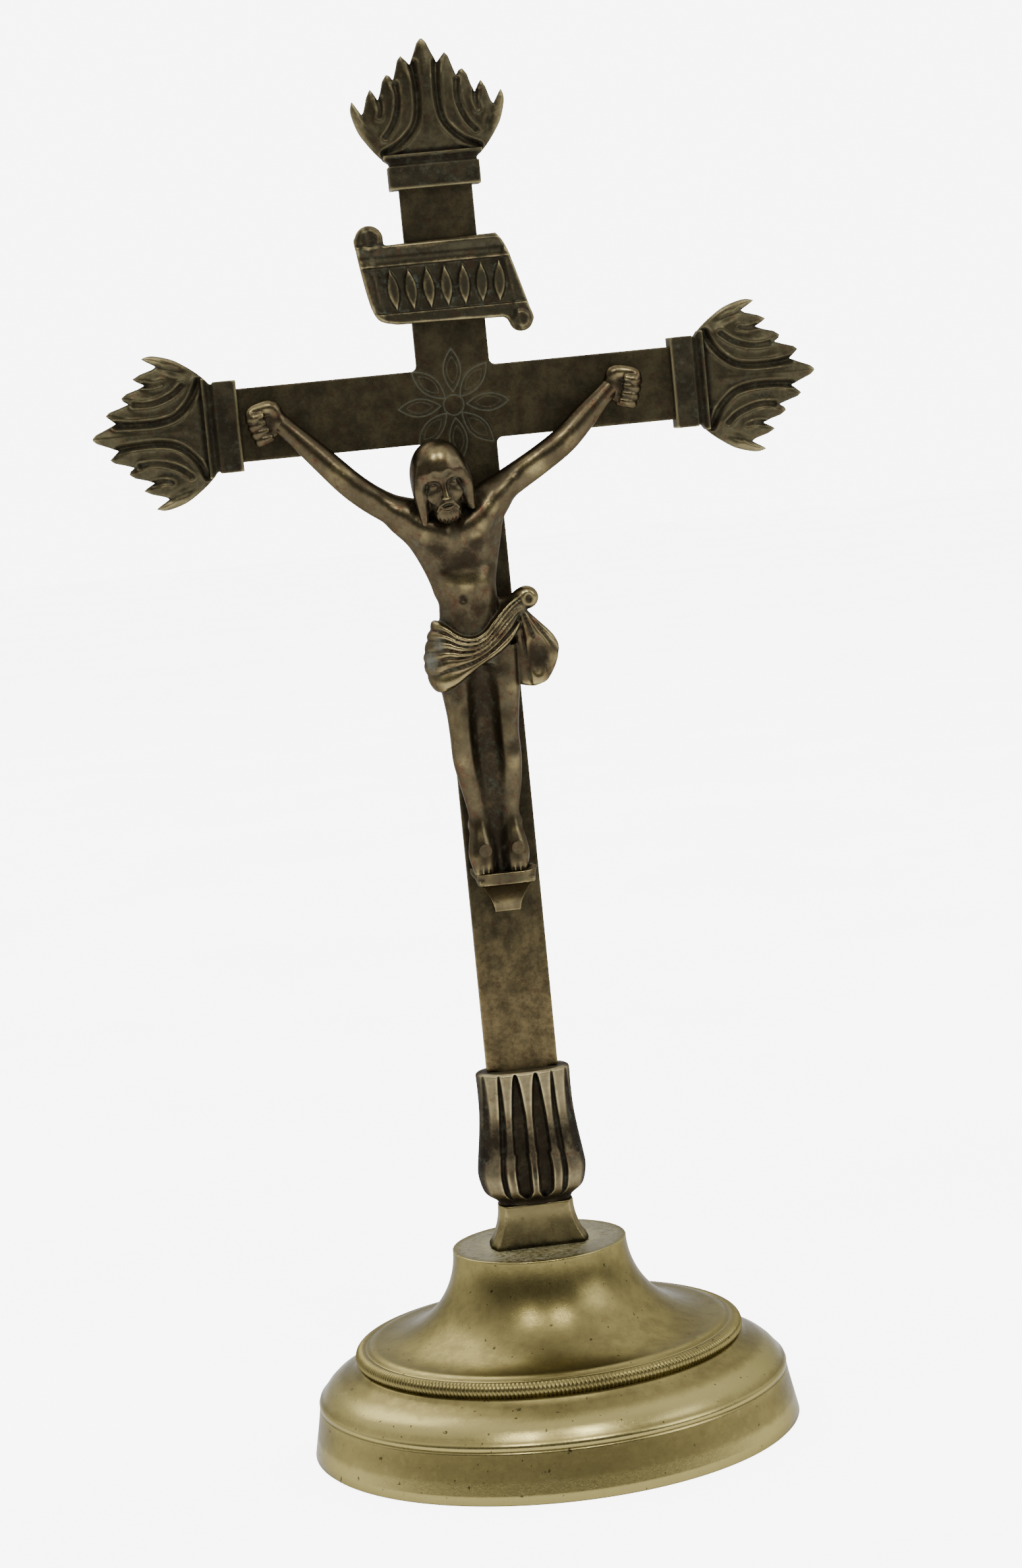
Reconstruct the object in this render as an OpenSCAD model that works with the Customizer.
// Standing altar cross: a flat brass cross with palmette finials, a nailed figure and a title
// scroll with a leaf ornament, on an oval knop, a flared plinth and a turned hollow foot.
// Millimetres. +Z is up, the front faces -Y, and the origin is the centre of the foot's underside.

/* [Cross] */
// Height of the tip of the top finial above the table
total_height = 261; // [250:0.5:270]
// Distance between the tips of the two side finials
span = 134; // [124:0.5:144]
// Width of the upright and height of the crossbar
bar_width = 13.4; // [12:0.1:15]
// Thickness of the upright and the crossbar, front to back
bar_depth = 3; // [2.4:0.1:4]
// Height of the crossbar's centre line above the table
arm_height = 194.4; // [190:0.2:198]
// Radius of the small fillets where the arms meet the upright
corner_fillet = 1.1; // [0.5:0.1:2]

/* [Finials] */
// Length of a finial from the inner face of its collar to its tip
finial_length = 27; // [26:0.5:28]
// Width of the collar that grips the end of the bar
collar_width = 16.7; // [16:0.1:18]
// Thickness of the collar, front to back
collar_depth = 5.2; // [4.6:0.1:6]
// Thickness of the palmette behind its raised leaf, front to back
palmette_depth = 3.4; // [2.6:0.1:4]

/* [Stem] */
// Height of the top of the knop, where the upright stands
knop_top = 70; // [68:0.5:72]
// Height of the joint between the plinth and the knop
plinth_top = 44.6; // [44:0.1:45]
// Greatest width of the knop
knop_width = 20.4; // [19:0.1:22]
// Depth of the knop, front to back
knop_depth = 12.4; // [11:0.1:14]

/* [Foot] */
// Diameter of the foot at the table
foot_diameter = 92; // [88:1:98]
// Height of the flat top of the foot
foot_height = 36.7; // [36:0.1:37.5]
// Radius of the flat top of the foot
neck_radius = 16.4; // [15.5:0.1:17.5]
// Wall thickness of the hollow foot
wall = 2.6; // [2:0.1:3.2]

/* [Fasteners] */
// Radius of the threaded stud that ties the stem to the foot
stud_radius = 2.5; // [2:0.1:2.6]
// Radius of the nails through the hands and feet
nail_radius = 0.6; // [0.4:0.05:0.8]
// Radius of the rivets behind the scroll and the foot rest
rivet_radius = 0.8; // [0.5:0.05:1]

/* [Hidden] */
$fn = 64;

cross_brass = "#5b4a2a";
polished_brass = "#9a8248";
foot_brass = "#a08c50";
figure_brass = "#8c7545";
iron_grey = "#6a6258";

front = -bar_depth / 2;
bar_half = bar_width / 2;
foot_radius = foot_diameter / 2;
collar_reach = span / 2 - finial_length;
collar_level = total_height - finial_length;
// Lengths of the bar inside each finial and inside the knop
tenon = 3;
tang_width = 9;
tang_length = 10;
// Play between pieces that fit together
slip = 0.05;
// Overshoot of a cut through a face
cut = 0.01;
// How deep the plinth sits in the top of the foot
seat_depth = 0.7;
plinth_bottom = foot_height - seat_depth;
// Thickness of the top of the foot, and the tie beneath it
deck = 3;
washer_top = foot_height - deck;
washer_thickness = 1.2;
washer_radius = 7;
nut_height = 4;
nut_flats = 9;
stud_bottom = 25.5;
stud_top = 56;

// The plinth's foot: half width, half width of its flat front, and half depth
plinth_half = 9.2;
plinth_flat = 8.3;
plinth_deep = 5.1;

// Where the nails go: [x, z] of each
hand_nail_places = [[-35.2, 195.4], [31, 195.8]];
foot_nail_places = [[-3.5, 112.6], [2.6, 112.6]];
// Where the rivets go: two behind the scroll and one behind the foot rest
scroll_rivet_places = [[-3.4, 217], [3.4, 217]];
rest_rivet_place = [0, 104.2];

// ---- Shared geometry ----

function unit(v) = v / norm(v);
function place(s) = [s[0], s[1], s[2]];

// A smooth curve through a list of stations, at u stations from its start
function along(s, u) =
    let (
        last = len(s) - 1,
        i = min(floor(u), last - 1),
        t = u - i,
        a = s[max(i - 1, 0)],
        b = s[i],
        c = s[i + 1],
        d = s[min(i + 2, last)]
    )
    0.5 * (2 * b + (c - a) * t + (2 * a - 5 * b + 4 * c - d) * t * t + (3 * b - a - 3 * c + d) * t * t * t);

// A rounded bar along stations [x, y, z, half width, half depth], with oval rings square to its path
module limb(stations, sides = 16, steps = 3) {
    last = steps * (len(stations) - 1);
    rings = [for (k = [0:last]) along(stations, k / steps)];
    points = [
        for (k = [0:last])
            let (
                ahead = unit(place(rings[min(k + 1, last)]) - place(rings[max(k - 1, 0)])),
                across = unit(cross(ahead, [0, 1, 0])),
                deep = cross(across, ahead)
            )
            for (j = [0:sides - 1])
                place(rings[k])
                + across * rings[k][3] * cos(360 * j / sides)
                + deep * rings[k][4] * sin(360 * j / sides)
    ];
    skin = [
        for (k = [0:last - 1], j = [0:sides - 1])
            let (
                a = k * sides + j,
                b = k * sides + (j + 1) % sides,
                c = b + sides,
                d = a + sides
            )
            for (face = [[a, b, c], [a, c, d]]) face
    ];
    ends = [
        [for (j = [0:sides - 1]) sides - 1 - j],
        [for (j = [0:sides - 1]) last * sides + j]
    ];
    polyhedron(points = points, faces = concat(skin, ends), convexity = 4);
}

// Flat outlines drawn as [x, z], extruded from y_front to y_back
module upright_plate(y_front, y_back) {
    translate([0, y_back, 0]) rotate([90, 0, 0]) linear_extrude(y_back - y_front) children();
}

// A round bar along Y from y_front to y_back at [x, z]
module round_bar(at, radius, y_front, y_back) {
    translate([at[0], y_back, at[1]]) rotate([90, 0, 0]) cylinder(r = radius, h = y_back - y_front);
}

// Stacked rings of [x, y] points at given heights, closed top and bottom
module stack(rings, heights) {
    sides = len(rings[0]);
    last = len(rings) - 1;
    points = [for (k = [0:last], p = rings[k]) [p[0], p[1], heights[k]]];
    skin = [
        for (k = [0:last - 1], j = [0:sides - 1])
            let (
                a = k * sides + j,
                b = k * sides + (j + 1) % sides,
                c = b + sides,
                d = a + sides
            )
            for (face = [[a, c, b], [a, d, c]]) face
    ];
    ends = [
        [for (j = [0:sides - 1]) j],
        [for (j = [0:sides - 1]) last * sides + sides - 1 - j]
    ];
    polyhedron(points = points, faces = concat(skin, ends), convexity = 4);
}

// ---- Foot ----

// The turned outline, from the table up: band, ovolo, bead, fillet, cavetto and top
cavetto_foot = 20.1;
cavetto_radius = foot_height - cavetto_foot;
bead_radius = 1.5;
bead_centre = [35.2, 18];
band_top = 10.75;
// The ovolo is a quarter oval that rises from a small step above the band
ovolo_centre = 31.5;
ovolo_wide = 12.5;
ovolo_high = 6;

function foot_outline(inset) = concat(
    [[foot_radius - inset, 0]],
    [[44.2 - inset, band_top - 1.2]],
    [
        for (a = [0:15:60])
            [ovolo_centre + (ovolo_wide - inset) * cos(a), band_top + (ovolo_high - inset / 2) * sin(a)]
    ],
    [[35.4 - inset, 16.6 - inset * 0.6]],
    [[34.6 - inset * 0.7, 19.6 - inset]],
    [
        for (a = [0:9:90])
            [
                neck_radius + cavetto_radius - (cavetto_radius + inset) * sin(a),
                foot_height - (cavetto_radius + inset) * cos(a)
            ]
    ]
);

module foot_shell() {
    color(foot_brass) difference() {
        union() {
            rotate_extrude($fn = 128)
                polygon(concat([[0, 0]], foot_outline(0), [[0, foot_height]]));
            rotate_extrude($fn = 128) translate(bead_centre) circle(bead_radius, $fn = 24);
        }
        difference() {
            translate([0, 0, -cut]) rotate_extrude($fn = 128)
                polygon(concat([[0, 0]], foot_outline(wall), [[0, foot_height]]));
            translate([0, 0, foot_height - deck]) cylinder(r = neck_radius + wall, h = deck + wall);
        }
        translate([0, 0, foot_height - deck - cut]) cylinder(r = stud_radius + 0.1, h = deck + 1);
        translate([0, 0, plinth_bottom])
            linear_extrude(seat_depth + 1)
                polygon(plinth_ring(plinth_half + slip, plinth_flat, plinth_deep + 2 * slip));
    }
}

module tie_washer() {
    color(iron_grey) translate([0, 0, washer_top - washer_thickness]) difference() {
        cylinder(r = washer_radius, h = washer_thickness);
        translate([0, 0, -1]) cylinder(r = stud_radius + 0.2, h = washer_thickness + 2);
    }
}

module tie_nut() {
    color(iron_grey) translate([0, 0, washer_top - washer_thickness - nut_height]) difference() {
        translate([-nut_flats / 2, -nut_flats / 2, 0]) cube([nut_flats, nut_flats, nut_height]);
        translate([0, 0, -1]) cylinder(r = stud_radius + slip, h = nut_height + 2);
    }
}

module tie_stud() {
    color(iron_grey) translate([0, 0, stud_bottom]) cylinder(r = stud_radius, h = stud_top - stud_bottom);
}

// ---- Stem ----

// An oblong with chamfered ends: half width, half width of the flat front, half depth
function plinth_ring(half, flat, deep) = [
    [-flat, -deep], [flat, -deep], [half, -deep * 0.4], [half, deep * 0.4],
    [flat, deep], [-flat, deep], [-half, deep * 0.4], [-half, -deep * 0.4]
];

module stem_plinth() {
    // A short foot, a hollow sweep that draws in by waist, and a plain neck
    waist = 2.2;
    chamfer = plinth_half - plinth_flat;
    base_edge = foot_height + 0.5;
    neck = 0.6;
    sweep = plinth_top - neck - base_edge;
    hollowness = 0.55;
    steps = 5;
    function rise(i) = hollowness * (1 - cos(90 * i / steps)) + (1 - hollowness) * i / steps;
    widths = concat(
        [plinth_half, plinth_half],
        [for (i = [1:steps]) plinth_half - waist * sin(90 * i / steps)],
        [plinth_half - waist]
    );
    heights = concat(
        [plinth_bottom, base_edge],
        [for (i = [1:steps]) base_edge + sweep * rise(i)],
        [plinth_top]
    );
    color(polished_brass) difference() {
        stack([for (w = widths) plinth_ring(w, w - chamfer, plinth_deep - (plinth_half - w) / 2)], heights);
        translate([0, 0, plinth_bottom - 1]) cylinder(r = stud_radius + 0.1, h = plinth_top - plinth_bottom + 2);
    }
}

// The knop's shape from its underside to its top ledge: [share of its height, share of its girth]
knop_sections = [
    [0, 0.66], [0.04, 0.74], [0.1, 0.91], [0.17, 0.985], [0.25, 1],
    [0.37, 0.965], [0.53, 0.905], [0.69, 0.87], [0.84, 0.865], [0.945, 0.87], [1, 0.865]
];

// An oval with slightly flattened sides
function oval(half, deep, n = 40, flatness = 0.8) = [
    for (i = [0:n - 1])
        let (a = 360 * i / n)
        [half * sign(cos(a)) * pow(abs(cos(a)), flatness), deep * sign(sin(a)) * pow(abs(sin(a)), flatness)]
];

module stem_knop() {
    lift = [for (s = knop_sections) plinth_top + (knop_top - plinth_top) * s[0]];
    rings = [for (s = knop_sections) oval(knop_width / 2 * s[1], knop_depth / 2 * s[1])];
    color(polished_brass) difference() {
        stack(rings, lift);
        translate([0, 0, plinth_top - 1]) cylinder(r = stud_radius + slip, h = stud_top - plinth_top + 1.3);
        translate([-tang_width / 2 - slip, front - slip, knop_top - tang_length])
            cube([tang_width + 2 * slip, bar_depth + 2 * slip, tang_length + 1]);
    }
}

// ---- Cross ----

// A pointed oval of half length l and half width w, lying along X
module lens(l, w) {
    r = (l * l + w * w) / (2 * w);
    intersection() {
        translate([0, r - w]) circle(r, $fn = 96);
        translate([0, w - r]) circle(r, $fn = 96);
    }
}

// One engraved line that follows a pointed oval
module engraved_petal() {
    line = 0.28;
    length = 3.9;
    width = 1.65;
    difference() {
        lens(length, width);
        lens(length - 2 * line, width - line);
    }
}

module rosette() {
    difference() {
        circle(1.95, $fn = 48);
        circle(1.7, $fn = 48);
    }
    for (i = [0:7]) rotate(45 * i) translate([6.2, 0]) engraved_petal();
}

module cross_outline() {
    difference() {
        union() {
            translate([-bar_half, knop_top]) square([bar_width, collar_level + tenon - knop_top]);
            translate([-collar_reach - tenon, arm_height - bar_half])
                square([2 * (collar_reach + tenon), bar_width]);
            translate([-bar_half - corner_fillet, arm_height - bar_half - corner_fillet])
                square([bar_width + 2 * corner_fillet, bar_width + 2 * corner_fillet]);
            translate([-tang_width / 2, knop_top - tang_length + 0.2])
                square([tang_width, tang_length]);
        }
        for (sx = [-1, 1], sz = [-1, 1])
            translate([sx * (bar_half + corner_fillet), arm_height + sz * (bar_half + corner_fillet)])
                circle(corner_fillet, $fn = 32);
    }
}

module cross_bar() {
    engraving = 0.25;
    color(cross_brass) difference() {
        upright_plate(front, -front) cross_outline();
        translate([-0.6, 0, arm_height]) upright_plate(front - 1, front + engraving) rosette();
        for (at = concat(hand_nail_places, foot_nail_places))
            round_bar(at, nail_radius + slip, front - 1, 1 - front);
        for (at = concat(scroll_rivet_places, [rest_rivet_place]))
            round_bar(at, rivet_radius + slip, front - 1, 1 - front);
    }
}

// ---- Finials, drawn pointing up from the inner face of the collar ----

// Right half of the leaf's edge as [x, z], from its foot up to the tip, tooth by tooth
palmette_edge = [
    [9.1, 5.8], [10.3, 7], [11.8, 9], [13.1, 11], [13.9, 13.6], [14.1, 15.4], [13.7, 16.8],
    [12, 14.1], [10.9, 16.4], [10.2, 18.6], [8.9, 16.6], [8, 18.8], [7.1, 20.9],
    [5.9, 19.5], [5.2, 21.6], [4.1, 24], [2.6, 22.3], [1.4, 24.6], [0.5, 26.7], [0, 27]
];
function mirrored(p) = [for (i = [len(p) - 1:-1:0]) [-p[i][0], p[i][1]]];

module finial() {
    neck_bottom = 4.3;
    neck_top = 6;
    neck_width = 17.2;
    neck_depth = 4.2;
    leaf = 0.8;
    difference() {
        union() {
            translate([-collar_width / 2, -collar_depth / 2, 0])
                cube([collar_width, collar_depth, neck_bottom]);
            translate([-neck_width / 2, -neck_depth / 2, neck_bottom])
                cube([neck_width, neck_depth, neck_top - neck_bottom]);
            upright_plate(-palmette_depth / 2, palmette_depth / 2)
                polygon(concat(palmette_edge, mirrored(palmette_edge)));
            upright_plate(-palmette_depth / 2 - leaf, palmette_depth / 2 + leaf) {
                // Central leaf on its spreading foot
                polygon([
                    [-6.6, neck_top], [-4.6, 8.2], [-3, 11.6], [-2.2, 15], [-2.1, 20], [0, 25.4],
                    [2.1, 20], [2.2, 15], [3, 11.6], [4.6, 8.2], [6.6, neck_top]
                ]);
                // Inner and outer side lobes
                for (side = [-1, 1]) scale([side, 1]) {
                    polygon([
                        [7.4, 7.4], [5.2, 10.6], [3.9, 15], [3.6, 19.6], [4.1, 22], [5, 18.2], [5, 14.2], [6, 11]
                    ]);
                    polygon([[8.8, 9.4], [7.2, 11.6], [6.4, 14.6], [6.4, 18], [7.2, 19], [8, 15.8], [8.2, 12.6]]);
                    polygon([[10.2, 8.6], [9.6, 12.4], [9.8, 16.4], [10.7, 14.6], [12.8, 14], [12.6, 11.4]]);
                }
            }
        }
        // Socket for the end of the bar
        translate([-bar_half - slip, front - slip, -1])
            cube([bar_width + 2 * slip, bar_depth + 2 * slip, tenon + 1 + slip]);
    }
}

module finial_top() {
    color(cross_brass) translate([0, 0, collar_level]) finial();
}

module finial_left() {
    color(cross_brass) translate([-collar_reach, 0, arm_height]) rotate([0, -90, 0]) finial();
}

module finial_right() {
    color(cross_brass) translate([collar_reach, 0, arm_height]) rotate([0, 90, 0]) finial();
}

// ---- Title scroll, with a plain leaf ornament in place of lettering ----

// Centres of the rolled corners: [x, z]
upper_roll = [-13.3, 225.6];
lower_roll = [13.2, 208.6];

module scroll_outline() {
    polygon([
        [-11, 224.4], [-15.9, 226], [-15.5, 221], [-14.6, 215], [-13.4, 211.6], [-11.6, 210.2],
        [-7, 209.8], [10, 209.3], [11.4, 207.4], [15, 208.6], [14.8, 211], [13.7, 215.6],
        [12.2, 220.4], [10.4, 224.6]
    ]);
    translate(upper_roll) circle(2.6, $fn = 32);
    translate(lower_roll) circle(1.9, $fn = 32);
}

module title_scroll() {
    scroll_front = front - 1.5;
    raised = 0.6;
    leaves = 7;
    leaf_pitch = 3.4;
    leaf_level = 216;
    leaf_tilt = 96;
    color(cross_brass) difference() {
        union() {
            upright_plate(scroll_front, front) scroll_outline();
            // Rolled ends
            round_bar(upper_roll, 1.9, scroll_front - raised, scroll_front);
            round_bar(lower_roll, 1.3, scroll_front - raised, scroll_front);
            // A row of upright pointed leaves
            for (i = [0:leaves - 1])
                upright_plate(scroll_front - raised, scroll_front)
                    translate([leaf_pitch * (i - (leaves - 1) / 2), leaf_level])
                        rotate(leaf_tilt) lens(3.9, 1.2);
        }
        for (at = scroll_rivet_places) round_bar(at, rivet_radius + slip, front - 1, front + 1);
    }
}

module rear_rivets() {
    back = -front;
    color(cross_brass) for (at = concat(scroll_rivet_places, [rest_rivet_place])) {
        round_bar(at, rivet_radius, front - 0.95, back);
        round_bar(at, rivet_radius + 0.55, back, back + 0.6);
    }
}

// ---- Figure ----

// Path and girth of each part of the body: [x, y, z, half width, half depth]
trunk = [
    [-2.6, -6.4, 144, 6.2, 3.6], [-2.7, -6.6, 150, 6.4, 4.1], [-2, -6.8, 157, 5.4, 3.8],
    [-2.7, -7.1, 163, 5.9, 4.1], [-3.6, -7.3, 169, 7.2, 4.7], [-4.1, -7.1, 173, 8, 4.5],
    [-4.4, -6.8, 176.4, 6.6, 3.4], [-4.7, -7.4, 179, 3.2, 2.9], [-4.9, -8.6, 182, 2.7, 2.7]
];
leg_left = [
    [-5.6, -6.2, 148, 3.3, 3.6], [-5.5, -7, 140, 2.9, 3.3], [-5.3, -7.8, 134, 2.3, 2.7],
    [-4.9, -6.4, 128, 2.3, 2.6], [-4.2, -5.2, 122, 1.7, 1.9], [-3.7, -5, 118, 1.35, 1.6],
    [-3.6, -5.6, 115.5, 1.7, 2], [-3.4, -6.6, 112, 2.2, 1.7], [-3.3, -7.2, 108.6, 1.9, 0.8]
];
leg_right = [
    [2.6, -6.2, 150, 3.2, 3.6], [3, -7, 142, 2.8, 3.3], [2.6, -7.8, 134.5, 2.2, 2.7],
    [2.7, -6.4, 128.5, 2.1, 2.6], [2.3, -5.2, 122, 1.6, 1.9], [1.9, -5, 118, 1.35, 1.6],
    [2.1, -5.6, 115.5, 1.7, 2], [2.6, -6.6, 112, 2.2, 1.7], [2.8, -7.2, 108.6, 1.9, 0.8]
];
head = [
    [-4.2, -12.4, 174.2, 1.3, 1.3], [-4.5, -12, 176.4, 2.8, 3.1], [-5, -11.2, 180, 4.3, 4.6],
    [-5.5, -10.4, 183.6, 5, 5.2], [-5.9, -9.9, 186.6, 4, 4.2], [-6.1, -9.7, 188.2, 1.6, 1.6]
];
hair_left = [[-9.2, -9.4, 184.5, 1.7, 2.6], [-10, -9, 179.5, 1.6, 2.3], [-10, -8.4, 175.4, 1, 1.4]];
hair_right = [[-1.4, -9.4, 184, 1.5, 2.4], [-0.6, -8.8, 179.5, 1.3, 2.1], [-0.9, -8, 176.6, 0.9, 1.3]];
cloth = [
    [-3, -6.6, 142.6, 6.6, 4.4], [-2.8, -6.8, 146, 8, 5.1], [-2.5, -6.8, 151, 8, 5],
    [-2, -6.8, 155.6, 6.7, 4.5], [-1.2, -6.8, 158.5, 6, 4.2]
];
drape = [
    [6.4, -6.6, 157, 1.5, 1.6], [8.4, -6.8, 152.6, 3.2, 2], [9.8, -6.5, 148.6, 3.9, 2.2],
    [9.4, -6.3, 145, 3.3, 1.9], [8.6, -6.2, 142.4, 1.6, 1.2]
];
arm_left = [
    [-8, -6.6, 173, 3.3, 3.4], [-11.2, -6.4, 175, 3, 3.1], [-14.4, -6.3, 176.6, 2.6, 2.7],
    [-17.6, -6.4, 178.8, 2.3, 2.5], [-21.4, -6.5, 182.2, 2.2, 2.3], [-26, -5.6, 187.2, 1.9, 1.9],
    [-30.8, -4.4, 192.2, 1.5, 1.4], [-33.2, -3.6, 194, 2.4, 1.5], [-35.4, -3.2, 195.6, 3.1, 1.4],
    [-37.4, -3.3, 196.6, 2.2, 1.3]
];
arm_right = [
    [0, -6.6, 174.4, 3.2, 3.4], [3.4, -6.4, 176.6, 2.9, 3.1], [7.4, -6.3, 179.2, 2.5, 2.7],
    [13.4, -6.5, 182.6, 2.2, 2.4], [18.6, -6.1, 186.2, 2.1, 2.2], [23, -5.2, 190.2, 1.8, 1.8],
    [26.8, -4.2, 193.4, 1.5, 1.4], [29, -3.6, 194.8, 2.4, 1.5], [31, -3.2, 195.8, 3, 1.4],
    [32.6, -3.3, 196.8, 2.2, 1.3]
];
// The cut where each arm was cast apart: [x, z, tilt of the cut]
seam_left = [-12.4, 175.6, -62];
seam_right = [4.8, 177.6, 60];
peg_radius = 0.9;
peg_depth = 3;
// Slope of the cloth's lower hem, and the size of the block that cuts it
hem_slope = 28;
hem_block = 30;

// Everything further out than a shoulder cut
module beyond(seam, reach = 60) {
    translate([seam[0], -reach / 2, seam[1]]) rotate([0, seam[2], 0])
        translate([-reach / 2, 0, 0]) cube(reach);
}

// The peg that joins an arm to its shoulder
module shoulder_peg(seam, radius, depth) {
    translate([seam[0], -6.4, seam[1]]) rotate([0, seam[2], 0])
        translate([0, 0, -depth]) cylinder(r = radius, h = depth + 2, $fn = 24);
}

module corpus_body() {
    color(figure_brass) difference() {
        union() {
            limb(trunk, 28, 4);
            limb(leg_left, 16, 3);
            limb(leg_right, 16, 3);
            limb(head, 20, 4);
            limb(hair_left, 10, 4);
            limb(hair_right, 10, 4);
            difference() {
                limb(cloth, 28, 4);
                // The hem rises from the left hip to the knot on the right
                translate([5, -hem_block, 129.4]) rotate([0, -hem_slope, 0]) cube(hem_block);
            }
            limb(drape, 16, 4);
            limb([[3.4, -9, 153.6, 2.2, 1.6], [5.6, -8, 156.2, 1.6, 1.6], [7.4, -7.4, 157.6, 1.3, 1.4]], 12, 3);
            translate([8.7, -7, 158.2]) sphere(2.2, $fn = 24);
            limb(arm_left, 16, 3);
            limb(arm_right, 16, 3);
        }
        beyond(seam_left);
        beyond(seam_right);
        for (seam = [seam_left, seam_right]) shoulder_peg(seam, peg_radius + slip, peg_depth + slip);
        for (at = foot_nail_places) round_bar(at, nail_radius + slip, -20, 0);
    }
}

// Four curled fingers round a nail at [x, z], with the knuckles towards heading
module fist(at, heading) {
    for (i = [0:3])
        translate([at[0], 0, at[1]]) rotate([0, heading + 25 * (i - 1.5), 0])
            limb([
                [0, -2.9, 2.2, 0.8, 0.8], [0, -3.8, 3.3, 0.78, 0.78],
                [0, -5, 3.6, 0.74, 0.74], [0, -5.9, 2.9, 0.66, 0.66], [0, -6, 2, 0.55, 0.55]
            ], 10, 2);
}

module corpus_arm(path, seam, at, heading) {
    color(figure_brass) difference() {
        union() {
            intersection() {
                limb(path, 16, 3);
                beyond(seam);
            }
            shoulder_peg(seam, peg_radius, peg_depth);
            fist(at, heading);
        }
        round_bar(at, nail_radius + slip, -20, 0);
    }
}

module corpus_arm_left() {
    corpus_arm(arm_left, seam_left, hand_nail_places[0], -50);
}

module corpus_arm_right() {
    corpus_arm(arm_right, seam_right, hand_nail_places[1], 50);
}

// A round-headed nail through to the back of the bar, peened over behind
module nail(at, head_y) {
    round_bar(at, nail_radius, head_y, 0.5 - front);
    round_bar(at, nail_radius + 0.6, head_y - 0.7, head_y);
    round_bar(at, nail_radius + 0.4, -front, 0.5 - front);
}

module hand_nails() {
    color(iron_grey) for (at = hand_nail_places) nail(at, -4.7);
}

module foot_nails() {
    color(iron_grey) for (at = foot_nail_places) nail(at, -8.3);
}

// ---- Foot rest ----

module foot_rest() {
    shelf_top = 108.2;
    shelf = 2.2;
    shelf_bottom = shelf_top - shelf;
    shelf_half = 5.8;
    shelf_reach = 7.4;
    corner = 1.2;
    // The taper under the shelf: half width, depth and height of each level
    taper = [[4.6, 5.6, shelf_bottom], [2.9, 4.2, 103.4], [2.4, 3, 100.4]];
    slice = 0.1;
    color(figure_brass) difference() {
        union() {
            hull() {
                for (side = [-1, 1])
                    translate([side * (shelf_half - corner), front - shelf_reach + corner, shelf_bottom])
                        cylinder(r = corner, h = shelf, $fn = 24);
                translate([-shelf_half, front - corner, shelf_bottom]) cube([2 * shelf_half, corner, shelf]);
            }
            for (i = [0:1])
                hull() for (level = [taper[i], taper[i + 1]])
                    translate([-level[0], front - level[1], level[2]]) cube([2 * level[0], level[1], slice]);
        }
        round_bar(rest_rivet_place, rivet_radius + slip, front - 1, front + 1);
    }
}

foot_shell();
tie_nut();
tie_washer();
tie_stud();
stem_plinth();
stem_knop();
cross_bar();
finial_top();
finial_left();
finial_right();
title_scroll();
rear_rivets();
foot_rest();
corpus_body();
corpus_arm_left();
corpus_arm_right();
hand_nails();
foot_nails();
